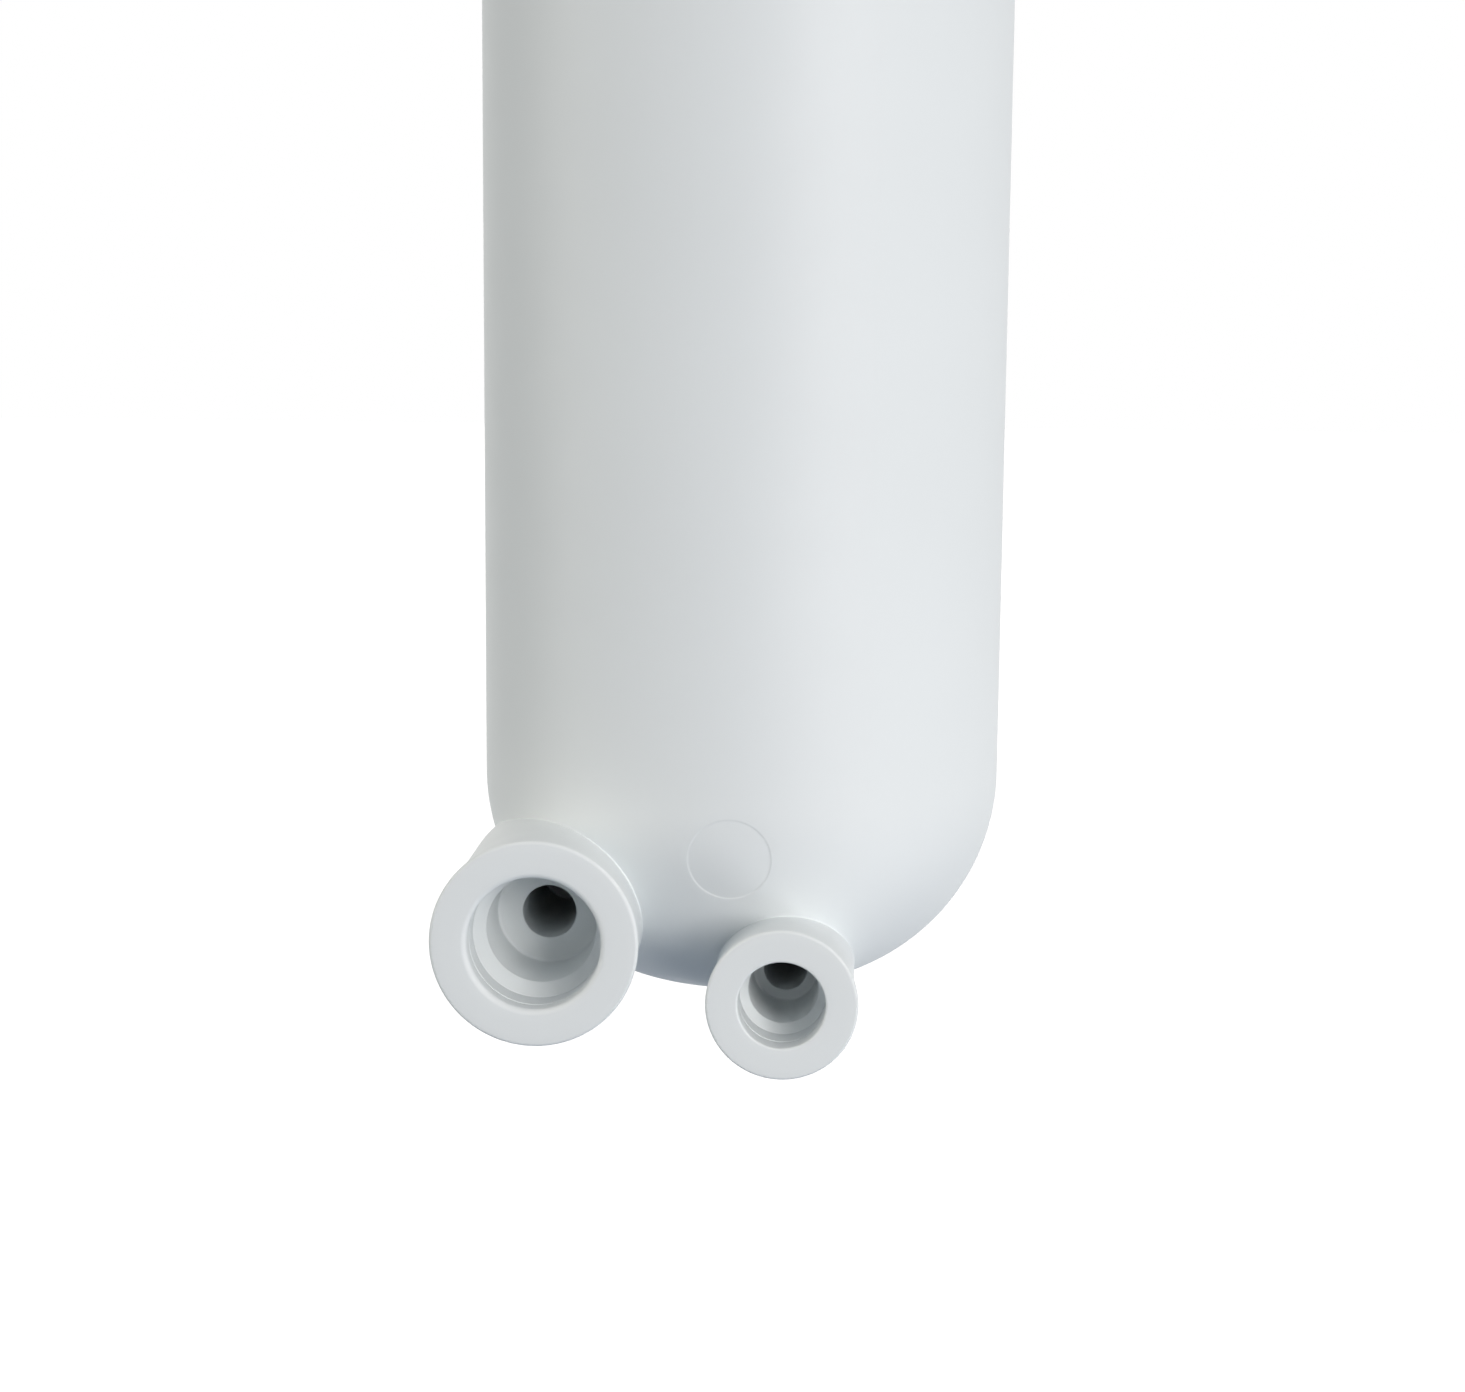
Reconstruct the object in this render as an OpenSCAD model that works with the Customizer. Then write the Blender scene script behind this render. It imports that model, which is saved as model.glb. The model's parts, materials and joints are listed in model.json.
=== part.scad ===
// Membrane pressure vessel: moulded shell with a domed end and two stepped
// ports, a screw cap with a feed port, and a spiral-wound element inside.
// Millimetres. Z runs up the vessel axis. The origin is on the axis, where the
// straight wall meets the domed end. The two end ports point along -Y.

/* [Vessel] */
// Outside diameter of the straight wall
vessel_od = 90; // [86:0.5:96]
// Wall thickness of the barrel and the domed end
wall = 5.5; // [4.5:0.25:6]
// Knuckle radius of the domed end
knuckle_r = 37; // [35:0.5:40]

/* [Large port] */
// Distance from the vessel axis to the plane of both port faces
port_face = 51.75; // [49:0.25:56]
// Sideways offset of the large port
large_x = 30.8; // [28:0.1:32]
// Drop of the large port below the origin
large_drop = 20; // [18:0.1:22]
// Outside diameter of the large port
large_od = 33.6; // [31:0.1:36]
// Outside diameter of the large port where it meets the vessel
large_base_d = 32.2; // [30:0.1:33.6]
// Cartridge bore of the large port
large_bore_d = 21.5; // [20:0.1:23]
// Depth of the cartridge bore
large_bore_l = 8.4; // [7.5:0.1:10]
// Length of the lead-in from the cartridge bore to the seal seat
large_lead_l = 2.9; // [2:0.1:4]
// Seal seat diameter at its mouth
large_seat_d = 18.1; // [16.5:0.1:19]
// Depth of the seal seat below the lead-in
large_seat_l = 11.9; // [10:0.1:13]
// Rounding of the mouth of the cartridge bore
large_lip_r = 1; // [0.5:0.05:1.3]
// Water passage from the seat into the vessel
large_hole_d = 9; // [7:0.1:10]
// Where the rounded back end of the large port is centred, from the vessel axis
large_back = 18; // [16:0.5:22]

/* [Small port] */
// Sideways offset of the small port
small_x = 8.95; // [8:0.05:10]
// Drop of the small port below the origin
small_drop = 29.2; // [28.8:0.1:30.2]
// Outside diameter of the small port
small_od = 24.5; // [22.5:0.1:25.5]
// Outside diameter of the small port where it meets the vessel
small_base_d = 23; // [21:0.1:24.5]
// Cartridge bore of the small port
small_bore_d = 14.1; // [13:0.1:15]
// Depth of the cartridge bore
small_bore_l = 9; // [7.5:0.1:10]
// Length of the lead-in from the cartridge bore to the seal seat
small_lead_l = 1.6; // [1:0.1:3]
// Seal seat diameter at its mouth
small_seat_d = 11.5; // [10.5:0.1:12.4]
// Depth of the seal seat below the lead-in
small_seat_l = 12.9; // [11:0.1:14]
// Rounding of the mouth of the cartridge bore
small_lip_r = 0.4; // [0.2:0.05:0.8]
// Water passage from the seat into the permeate socket
small_hole_d = 7.2; // [6:0.1:8]
// Where the rounded back end of the small port is centred, from the vessel axis
small_back = 14; // [12:0.5:16]

/* [Port details] */
// Rounding of the outer edge of a port face
port_edge_r = 1; // [0.6:0.1:1.5]
// Length over which a port narrows from its face to its base
port_taper_l = 12; // [8:0.5:16]
// Reduction in radius of a seal seat over its depth
seat_draft = 0.35; // [0.2:0.05:0.6]
// Width of the two fine ring grooves in a cartridge bore
ring_w = 0.5; // [0.3:0.05:0.8]
// Depth of the fine ring grooves
ring_t = 0.25; // [0.15:0.05:0.4]
// Spacing of the fine ring grooves, counted from the end of the bore
ring_pitch = 4.7; // [4:0.1:5.5]
// Diameter of the blanked port mark on the dome
blank_d = 13.4; // [11:0.1:15]
// Drop of the blanked port mark below the origin
blank_drop = 7.5; // [6:0.1:9]
// Recess of the blanked port mark
blank_t = 0.25; // [0.15:0.05:0.4]

/* [Permeate socket] */
// Outside diameter of the permeate tube of the element
tube_od = 17; // [16.4:0.1:17.6]
// Radial clearance of the tube in its socket
socket_fit = 0.5; // [0.4:0.05:0.7]
// Wall of the socket
socket_wall = 4.5; // [3.5:0.1:5.5]
// Cover of the socket foot round the permeate passage
foot_cover = 3.5; // [3:0.1:4.5]

/* [Neck] */
// Root diameter of the neck below its thread
neck_d = 94; // [93:0.5:98]
// Height of the neck above the collar
neck_l = 33; // [31:0.5:36]
// Projection of the collar from the neck
collar_p = 5.5; // [4:0.25:7]
// Height of the collar
collar_h = 4; // [3:0.25:6]
// Height of the taper from the straight wall to the collar
neck_taper_l = 4; // [3:0.5:8]

/* [Cap] */
// Room for the thread between the neck and the skirt
thread_room = 3; // [2.5:0.1:4]
// Wall of the skirt
skirt_wall = 5; // [4:0.25:6]
// Gap from the skirt to the collar with the cap tight
skirt_gap = 2; // [1:0.25:3]
// Thickness of the cap plate
plate_t = 9; // [7:0.5:12]
// Rounding of the edge of the cap plate
plate_edge_r = 2.5; // [1.5:0.25:3.5]
// Number of grip ribs
rib_count = 30; // [20:1:40]
// Radius of a grip rib
rib_r = 1.9; // [1.4:0.1:2.4]
// Depth by which a grip rib is sunk in the skirt
rib_sink = 0.4; // [0.2:0.05:0.6]
// Bare skirt below and above a grip rib
rib_inset = 2; // [1:0.25:4]
// Height of the feed port above the plate
feed_port_h = 16; // [14.5:0.5:19]
// Fillet at the foot of the feed port
feed_fillet_r = 4; // [2:0.5:6]
// Radial clearance of the spigot in the vessel bore
spigot_fit = 0.3; // [0.2:0.05:0.4]
// Wall of the spigot
spigot_wall = 6.2; // [5.5:0.1:7]
// Length of the spigot below the cap plate
spigot_l = 17; // [16:0.25:17.5]
// Section of the cap O-rings
cap_ring_d = 2.9; // [2.5:0.1:3.1]
// Clearance round a cap O-ring, in its groove and to the bore
cap_ring_fit = 0.3; // [0.2:0.05:0.4]
// Height of the lower cap O-ring above the end of the spigot
cap_ring_inset = 4.5; // [3.5:0.1:5.5]
// Spacing of the cap O-rings
cap_ring_pitch = 6; // [5.5:0.1:6.5]
// Floor left under the seat of the feed port
feed_floor = 3; // [2:0.1:4]

/* [Element] */
// Length of the membrane roll
roll_l = 258; // [200:1:330]
// Clearance from the roll to the end of the spigot
roll_fit = 2; // [1:0.1:3]
// Radial clearance from the element to the vessel bore
element_fit = 1.5; // [1.2:0.1:2]
// Thickness of the outer wrap
wrap_t = 0.7; // [0.5:0.1:1]
// Gap between the layers of the element
layer_gap = 0.1; // [0.05:0.05:0.2]
// Wall of the permeate tube
tube_wall = 3.5; // [3:0.1:3.8]
// Clearance from the end of the permeate tube to the permeate passage
nose_gap = 2.8; // [2:0.1:4]
// Section of the nose O-rings
nose_ring_d = 2; // [1.8:0.05:2.2]
// Clearance round a nose O-ring
nose_ring_fit = 0.05; // [0.03:0.01:0.1]
// Height of the lower nose O-ring above the end of the tube
nose_ring_inset = 5.5; // [4:0.1:7]
// Spacing of the nose O-rings
nose_ring_pitch = 6.5; // [5.5:0.1:7]
// Diameter of the holes that let permeate into the tube
drain_d = 2.5; // [2:0.1:3]
// Number of the drain holes along the tube
drain_count = 9; // [5:1:12]
// Height of the brine seal
brine_h = 10; // [8:0.5:13]
// Height of the foot of the brine seal, below its lip
brine_foot_h = 4; // [3:0.25:5]
// Thickness of the foot of the brine seal
brine_foot_t = 0.8; // [0.6:0.05:1]
// Thickness of the lip of the brine seal
brine_lip_t = 0.7; // [0.5:0.05:0.9]
// Gap from the lip of the brine seal to the vessel bore
brine_fit = 0.1; // [0.05:0.05:0.2]
// Distance of the brine seal from the top of the roll
brine_inset = 4; // [2:0.5:8]
// Length of the plug inside the permeate tube
plug_l = 12; // [8:0.5:16]
// Thickness of the head of the plug
plug_head_t = 1.6; // [1:0.1:2]
// Step from the head of the plug in to the edge of the tube
plug_head_step = 0.5; // [0.2:0.1:1]
// Gap from the head of the plug to the cap plate
plug_gap = 1.4; // [1:0.1:3]

/* [Hidden] */
$fn = 96;
eps = 0.01;
vessel_r = vessel_od / 2;
bore_r = vessel_r - wall;
flat_r = vessel_r - knuckle_r;
floor_z = -(knuckle_r - wall);
spigot_z = roll_l + roll_fit;
rim_z = spigot_z + spigot_l;
neck_z = rim_z - neck_l;
collar_z = neck_z - collar_h;
barrel_l = collar_z - neck_taper_l;
neck_r = neck_d / 2;
collar_r = neck_r + collar_p;
skirt_in = neck_r + thread_room;
skirt_out = skirt_in + skirt_wall;
skirt_z = neck_z + skirt_gap;
cap_z = rim_z + plate_t;
feed_z = cap_z + feed_port_h;
feed_depth = feed_port_h + plate_t;
feed_seat_l = feed_depth - feed_floor - large_bore_l - large_lead_l;
spigot_out = bore_r - spigot_fit;
spigot_in = spigot_out - spigot_wall;
cap_ring_out = bore_r - cap_ring_fit;
cap_ring_in = cap_ring_out - cap_ring_d;
groove_r = cap_ring_in - cap_ring_fit;
groove_w = cap_ring_d + 2 * cap_ring_fit;
cap_ring_low = spigot_z + cap_ring_inset;
cap_ring_high = cap_ring_low + cap_ring_pitch;
tube_r = tube_od / 2;
tube_in = tube_r - tube_wall;
socket_r = tube_r + socket_fit;
socket_out = socket_r + socket_wall;
foot_out = small_x + small_hole_d / 2 + foot_cover;
foot_top = -small_drop + small_hole_d / 2 + foot_cover;
foot_h = foot_top - floor_z;
nose_l = small_drop - small_hole_d / 2 - nose_gap;
roll_top = roll_l;
wrap_out = bore_r - element_fit;
wrap_in = wrap_out - wrap_t;
roll_out = wrap_in - layer_gap;
roll_in = tube_r + layer_gap;
nose_ring_out = socket_r - nose_ring_fit;
nose_ring_in = nose_ring_out - nose_ring_d;
nose_groove_r = nose_ring_in - nose_ring_fit;
nose_groove_w = nose_ring_d + 4 * nose_ring_fit;
nose_ring_low = -nose_l + nose_ring_inset;
nose_ring_high = nose_ring_low + nose_ring_pitch;
tube_top = rim_z - plug_gap - plug_head_t;

// Barrel with its domed end, as a half section, set in by a thickness
module barrel_section(inset, top) {
    square([vessel_r - inset, top]);
    translate([0, -(knuckle_r - inset)]) square([flat_r, knuckle_r - inset]);
    translate([flat_r, 0]) intersection() {
        circle(r = knuckle_r - inset);
        translate([0, -knuckle_r]) square([knuckle_r, knuckle_r]);
    }
}

// Turns a shape made along Z to point into the vessel from a port face
module at_port(x, drop) {
    translate([x, -port_face, -drop]) rotate([-90, 0, 0]) children();
}

// Outside of a port: rounded face edge, side that narrows a little, rounded back end
module port_boss(od, base_d, back) {
    r = od / 2;
    br = base_d / 2;
    l = port_face - back;
    rotate_extrude() {
        square([r - port_edge_r, port_edge_r]);
        translate([r - port_edge_r, port_edge_r]) intersection() {
            circle(r = port_edge_r);
            translate([0, -port_edge_r]) square(port_edge_r);
        }
        polygon([[0, port_edge_r], [r, port_edge_r], [br, port_taper_l], [br, l], [0, l]]);
        translate([0, l]) intersection() {
            circle(r = br);
            square(br);
        }
    }
}

// Inside of a port, as a half section: rounded lip, cartridge bore with two
// fine rings, lead-in, drafted seal seat, water passage
module port_section(lip_r, bore_d, bore_l, lead_l, seat_d, seat_l, hole_d, hole_l) {
    br = bore_d / 2;
    sr = seat_d / 2;
    seat_z = bore_l + lead_l;
    floor_l = seat_z + seat_l;
    polygon([[0, -1], [br, -1], [br, bore_l], [sr, seat_z], [sr - seat_draft, floor_l],
        [hole_d / 2, floor_l], [hole_d / 2, hole_l], [0, hole_l]]);
    difference() {
        translate([0, -1]) square([br + lip_r, lip_r + 1]);
        translate([br + lip_r, lip_r]) circle(r = lip_r);
    }
    for (z = [bore_l - ring_pitch, bore_l])
        translate([0, z - ring_w]) square([br + ring_t, ring_w]);
}

module vessel_shell() {
    color([0.93, 0.93, 0.93]) difference() {
        union() {
            difference() {
                rotate_extrude() {
                    barrel_section(0, barrel_l);
                    polygon([[0, barrel_l], [vessel_r, barrel_l], [neck_r, collar_z], [0, collar_z]]);
                    translate([0, collar_z]) square([collar_r, collar_h]);
                    translate([0, neck_z]) square([neck_r, neck_l]);
                }
                rotate_extrude() barrel_section(wall, rim_z + 1);
            }
            at_port(-large_x, large_drop) port_boss(large_od, large_base_d, large_back);
            at_port(small_x, small_drop) port_boss(small_od, small_base_d, small_back);
            translate([0, 0, floor_z - wall / 2]) cylinder(h = wall / 2 + foot_h, r = foot_out);
            translate([0, 0, floor_z]) cylinder(h = -floor_z, r = socket_out);
        }
        at_port(-large_x, large_drop) rotate_extrude() port_section(large_lip_r, large_bore_d,
            large_bore_l, large_lead_l, large_seat_d, large_seat_l, large_hole_d, port_face + 1);
        at_port(small_x, small_drop) rotate_extrude() port_section(small_lip_r, small_bore_d,
            small_bore_l, small_lead_l, small_seat_d, small_seat_l, small_hole_d, port_face - 1);
        translate([0, 0, floor_z - 0.8]) cylinder(h = -floor_z + 1, r = socket_r);
        blank_mark();
    }
}

// Shallow disc pressed into the dome by the blanked port
module blank_mark() {
    difference() {
        at_port(0, blank_drop) cylinder(h = port_face / 2, r = blank_d / 2);
        rotate_extrude() barrel_section(blank_t, barrel_l / 2);
    }
}

module end_cap() {
    color([0.9, 0.9, 0.9]) difference() {
        union() {
            rotate_extrude() {
                translate([0, skirt_z]) square([skirt_out, cap_z - plate_edge_r - skirt_z]);
                translate([0, cap_z - plate_edge_r]) square([skirt_out - plate_edge_r, plate_edge_r]);
                translate([skirt_out - plate_edge_r, cap_z - plate_edge_r]) intersection() {
                    circle(r = plate_edge_r);
                    square(plate_edge_r);
                }
                feed_boss_section();
            }
            for (i = [0 : rib_count - 1])
                rotate([0, 0, i * 360 / rib_count]) translate([skirt_out - rib_sink, 0, skirt_z + rib_inset])
                    cylinder(h = cap_z - skirt_z - plate_edge_r - 2 * rib_inset, r = rib_r, $fn = 24);
        }
        difference() {
            translate([0, 0, skirt_z - 1]) cylinder(h = rim_z - skirt_z + 1, r = skirt_in);
            spigot();
        }
        translate([0, 0, feed_z]) rotate([180, 0, 0]) rotate_extrude() port_section(large_lip_r,
            large_bore_d, large_bore_l, large_lead_l, large_seat_d, feed_seat_l, large_hole_d,
            feed_depth + 1);
    }
}

// Feed port on the cap, with a fillet at its foot, as a half section
module feed_boss_section() {
    r = large_od / 2;
    translate([0, cap_z]) square([r, feed_port_h - port_edge_r]);
    translate([0, feed_z - port_edge_r]) square([r - port_edge_r, port_edge_r]);
    translate([r - port_edge_r, feed_z - port_edge_r]) intersection() {
        circle(r = port_edge_r);
        square(port_edge_r);
    }
    translate([r, cap_z]) difference() {
        square(feed_fillet_r);
        translate([feed_fillet_r, feed_fillet_r]) circle(r = feed_fillet_r);
    }
}

// Spigot that enters the vessel bore and carries the cap O-rings
module spigot() {
    rotate_extrude() difference() {
        translate([spigot_in, spigot_z]) square([spigot_wall, rim_z - spigot_z + 1]);
        translate([groove_r, cap_ring_low - groove_w / 2]) square([spigot_wall, groove_w]);
        translate([groove_r, cap_ring_high - groove_w / 2]) square([spigot_wall, groove_w]);
    }
}

module o_ring(inner, outer, z) {
    translate([0, 0, z]) rotate_extrude() translate([(inner + outer) / 2, 0])
        circle(d = outer - inner, $fn = 32);
}

module cap_o_ring_lower() {
    color([0.1, 0.1, 0.1]) o_ring(cap_ring_in, cap_ring_out, cap_ring_low);
}

module cap_o_ring_upper() {
    color([0.1, 0.1, 0.1]) o_ring(cap_ring_in, cap_ring_out, cap_ring_high);
}

module permeate_tube() {
    color([0.85, 0.85, 0.8]) difference() {
        rotate_extrude() difference() {
            translate([tube_in, -nose_l]) square([tube_wall, tube_top + nose_l]);
            for (z = [nose_ring_low, nose_ring_high])
                translate([nose_groove_r, z - nose_groove_w / 2]) square([tube_wall, nose_groove_w]);
        }
        for (i = [0 : drain_count - 1])
            translate([0, 0, roll_l * (i + 1) / (drain_count + 1)]) rotate([90, 0, 90 * (i % 2)])
                cylinder(h = tube_od + 2, d = drain_d, center = true, $fn = 24);
    }
}

module tube_plug() {
    color([0.2, 0.2, 0.2]) rotate_extrude() {
        translate([0, tube_top - plug_l]) square([tube_in - layer_gap, plug_l]);
        translate([0, tube_top]) square([tube_r - plug_head_step, plug_head_t]);
    }
}

module nose_o_ring_lower() {
    color([0.1, 0.1, 0.1]) o_ring(nose_ring_in, nose_ring_out, nose_ring_low);
}

module nose_o_ring_upper() {
    color([0.1, 0.1, 0.1]) o_ring(nose_ring_in, nose_ring_out, nose_ring_high);
}

module membrane_roll() {
    color([0.8, 0.8, 0.75]) rotate_extrude() translate([roll_in, 0]) square([roll_out - roll_in, roll_l]);
}

module outer_wrap() {
    color([0.3, 0.4, 0.7]) rotate_extrude() translate([wrap_in, 0]) square([wrap_t, roll_l]);
}

// Cup seal on the element: its lip leans out against the feed water
module brine_seal() {
    inner = wrap_out + layer_gap;
    lip = bore_r - brine_fit;
    low = roll_top - brine_inset - brine_h;
    color([0.1, 0.1, 0.1]) rotate_extrude() polygon([[inner, low], [inner + brine_foot_t, low],
        [inner + brine_foot_t, low + brine_foot_h / 2], [lip, low + brine_h],
        [lip - brine_lip_t, low + brine_h], [inner + brine_foot_t / 2, low + brine_foot_h],
        [inner, low + brine_foot_h]]);
}

vessel_shell();
end_cap();
cap_o_ring_lower();
cap_o_ring_upper();
permeate_tube();
tube_plug();
nose_o_ring_lower();
nose_o_ring_upper();
membrane_roll();
outer_wrap();
brine_seal();
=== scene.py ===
import json
import math

import bmesh
import bpy
import numpy as np
from mathutils import Matrix, Vector
from mathutils.geometry import delaunay_2d_cdt


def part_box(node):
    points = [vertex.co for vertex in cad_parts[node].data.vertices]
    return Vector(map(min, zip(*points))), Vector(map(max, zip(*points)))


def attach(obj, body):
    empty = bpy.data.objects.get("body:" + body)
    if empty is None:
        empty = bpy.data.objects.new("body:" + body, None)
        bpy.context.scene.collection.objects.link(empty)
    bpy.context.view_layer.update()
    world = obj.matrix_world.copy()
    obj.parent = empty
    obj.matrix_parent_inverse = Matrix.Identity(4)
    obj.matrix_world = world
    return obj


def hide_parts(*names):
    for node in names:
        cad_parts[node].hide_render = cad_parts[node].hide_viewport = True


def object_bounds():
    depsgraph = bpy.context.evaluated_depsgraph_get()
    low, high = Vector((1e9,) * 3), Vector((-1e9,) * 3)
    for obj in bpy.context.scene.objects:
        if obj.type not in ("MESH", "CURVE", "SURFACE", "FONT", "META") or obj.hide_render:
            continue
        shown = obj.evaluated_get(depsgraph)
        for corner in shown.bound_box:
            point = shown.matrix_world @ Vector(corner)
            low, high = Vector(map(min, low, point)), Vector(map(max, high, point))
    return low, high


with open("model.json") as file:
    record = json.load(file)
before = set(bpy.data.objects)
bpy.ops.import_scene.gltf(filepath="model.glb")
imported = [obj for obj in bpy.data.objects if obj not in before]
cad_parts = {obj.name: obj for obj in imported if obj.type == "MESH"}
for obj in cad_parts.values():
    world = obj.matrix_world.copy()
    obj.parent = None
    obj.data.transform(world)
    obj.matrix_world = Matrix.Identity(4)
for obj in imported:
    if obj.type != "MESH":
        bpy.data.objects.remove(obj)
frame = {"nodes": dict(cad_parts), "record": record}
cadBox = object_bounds()
mm = 0.001
mounts = {m["name"]: m for m in frame["record"]["mounts"]}
print("frame loaded with", len(frame["nodes"]), "nodes")

# camera: the view that lines up the barrel, the dome and both port faces
photoCamera = {
    "frameWidth": 1465.0,            # the photograph's frame, pixels
    "focal": 2656.0,                 # in the same pixels
    "place": (20.0, -462.9, 83.6),   # mm
    "yaw": -2.687,                   # degrees, turned from straight along +Y
    "pitch": 8.714,                  # looking down
    "roll": 0.467,
    "sensor": 36.0,
    "clip": (0.01, 30.0),            # metres
}


def makeCamera(c):
    yaw, pitch, roll = (math.radians(c[k]) for k in ("yaw", "pitch", "roll"))
    ahead = Vector((math.sin(yaw), math.cos(yaw), 0))
    side = Vector((math.cos(yaw), -math.sin(yaw), 0))
    up = Vector((0, 0, 1))
    look = ahead * math.cos(pitch) - up * math.sin(pitch)
    lift = up * math.cos(pitch) + ahead * math.sin(pitch)
    right = side * math.cos(roll) + lift * math.sin(roll)
    top = lift * math.cos(roll) - side * math.sin(roll)
    data = bpy.data.cameras.new("photoCamera")
    data.sensor_fit = "HORIZONTAL"
    data.sensor_width = c["sensor"]
    data.lens = c["focal"] / c["frameWidth"] * c["sensor"]
    data.clip_start, data.clip_end = c["clip"]
    camera = bpy.data.objects.new("photoCamera", data)
    turn = Matrix((right, top, -look)).transposed().to_4x4()
    camera.matrix_world = Matrix.Translation(Vector(c["place"]) * mm) @ turn
    bpy.context.scene.collection.objects.link(camera)
    bpy.context.scene.camera = camera


makeCamera(photoCamera)
print("camera set")


# node helpers
def addNode(tree, kind, **settings):
    made = tree.nodes.new(kind)
    for key, value in settings.items():
        setattr(made, key, value)
    return made


def setInput(tree, node, name, value):
    # links a socket or sets a plain value
    socket = node.inputs[name]
    if isinstance(value, bpy.types.NodeSocket):
        tree.links.new(value, socket)
    else:
        socket.default_value = value


def calc(tree, operation, *values):
    made = addNode(tree, "ShaderNodeMath", operation=operation)
    for i, value in enumerate(values):
        setInput(tree, made, i, value)
    return made.outputs[0]


def layer(tree, factor, low, high):
    # blends two colours by a factor
    made = addNode(tree, "ShaderNodeMix", data_type="RGBA")
    setInput(tree, made, 0, factor)
    setInput(tree, made, 6, low)
    setInput(tree, made, 7, high)
    return made.outputs[2]


def spread(tree, value, low, high, start=0.0, end=1.0):
    # maps the stretch of a pattern from start to end onto a range
    made = addNode(tree, "ShaderNodeMapRange")
    for i, v in enumerate((value, start, end, low, high)):
        setInput(tree, made, i, v)
    return made.outputs[0]


def pattern(tree, place, scale, detail=2.0, roughness=0.5):
    made = addNode(tree, "ShaderNodeTexNoise")
    setInput(tree, made, "Vector", place)
    setInput(tree, made, "Scale", scale)
    setInput(tree, made, "Detail", detail)
    setInput(tree, made, "Roughness", roughness)
    return made.outputs["Fac"]


def splitPlace(tree, place):
    split = addNode(tree, "ShaderNodeSeparateXYZ")
    setInput(tree, split, 0, place)
    return split.outputs


def joinPlace(tree, **parts):
    join = addNode(tree, "ShaderNodeCombineXYZ")
    for axis, value in parts.items():
        setInput(tree, join, axis.upper(), value)
    return join.outputs[0]


def radiusOf(tree, x, y):
    squares = calc(tree, "ADD", calc(tree, "MULTIPLY", x, x), calc(tree, "MULTIPLY", y, y))
    return calc(tree, "SQRT", squares)


def turnsRound(tree, x, y):
    # angle round the axis, in turns
    return calc(tree, "DIVIDE", calc(tree, "ARCTAN2", y, x), 2 * math.pi)


def shade(colour, gain=1.0):
    return tuple(min(1.0, c * gain) for c in colour) + (1.0,)


def startMaterial(name):
    # every material reads Object coordinates, in metres
    material = bpy.data.materials.new(name)
    material.use_nodes = True
    tree = material.node_tree
    place = addNode(tree, "ShaderNodeTexCoord").outputs["Object"]
    return material, tree, tree.nodes["Principled BSDF"], place


def addBump(tree, shader, height, strength, depth):
    bump = addNode(tree, "ShaderNodeBump")
    setInput(tree, bump, "Strength", strength)
    setInput(tree, bump, "Distance", depth)
    setInput(tree, bump, "Height", height)
    setInput(tree, shader, "Normal", bump.outputs["Normal"])


# materials: patterns are counted per metre, a bump is its strength and its depth in metres
whiteMoulding = {
    "colour": (0.762, 0.80, 0.812),
    "cloud": (28.0, 3.0),         # slow change in shade along the moulding, and its detail
    "cloudGain": (0.975, 1.015),
    "peel": (1100.0, 2.0, 0.6),   # fine skin of the mould, its detail and roughness
    "peelBump": (0.10, 0.00006),
    "sheenSpan": 9.0,             # grains of skin across one patch of sheen
    "roughness": (0.48, 0.58),
    "ior": 1.49,
}


def makeMoulding(name, m):
    material, tree, shader, place = startMaterial(name)
    low, high = (shade(m["colour"], g) for g in m["cloudGain"])
    cloud = pattern(tree, place, *m["cloud"])
    setInput(tree, shader, "Base Color", layer(tree, cloud, low, high))
    sheen = pattern(tree, place, m["peel"][0] / m["sheenSpan"])
    setInput(tree, shader, "Roughness", spread(tree, sheen, *m["roughness"]))
    addBump(tree, shader, pattern(tree, place, *m["peel"]), *m["peelBump"])
    setInput(tree, shader, "IOR", m["ior"])
    return material


sealRubber = {
    "colour": (0.018, 0.018, 0.019),
    "bloom": (0.045, 0.045, 0.047),   # grey haze on the skin
    "haze": (90.0, 4.0, 0.65),        # patches of haze, their detail and roughness
    "hazeRange": (0.45, 0.75),        # part of the pattern over which the haze comes in
    "grain": 1400.0,
    "grainBump": (0.2, 0.00008),
    "roughness": (0.45, 0.65),
}


def makeRubber(name, m):
    material, tree, shader, place = startMaterial(name)
    haze = pattern(tree, place, *m["haze"])
    bloom = spread(tree, haze, 0.0, 1.0, *m["hazeRange"])
    setInput(tree, shader, "Base Color", layer(tree, bloom, shade(m["colour"]), shade(m["bloom"])))
    setInput(tree, shader, "Roughness", spread(tree, haze, *m["roughness"]))
    addBump(tree, shader, pattern(tree, place, m["grain"]), *m["grainBump"])
    return material


leafRoll = {
    "leaf": (0.74, 0.72, 0.66),
    "mesh": (0.52, 0.53, 0.50),
    "layers": 1150.0,            # leaf edges per metre of radius
    "edgeRange": (0.42, 0.58),   # part of a layer where leaf gives way to mesh
    "edgeBump": (0.4, 0.0002),
    "roughness": 0.72,
}


def makeLeaves(name, m):
    # the ends of the roll show the wound leaf edges as fine rings
    material, tree, shader, place = startMaterial(name)
    x, y = splitPlace(tree, place)[:2]
    layers = calc(tree, "MULTIPLY", radiusOf(tree, x, y), m["layers"])
    wound = calc(tree, "FRACT", calc(tree, "ADD", layers, turnsRound(tree, x, y)))
    edge = spread(tree, wound, 0.0, 1.0, *m["edgeRange"])
    setInput(tree, shader, "Base Color", layer(tree, edge, shade(m["leaf"]), shade(m["mesh"])))
    setInput(tree, shader, "Roughness", m["roughness"])
    addBump(tree, shader, edge, *m["edgeBump"])
    return material


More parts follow.
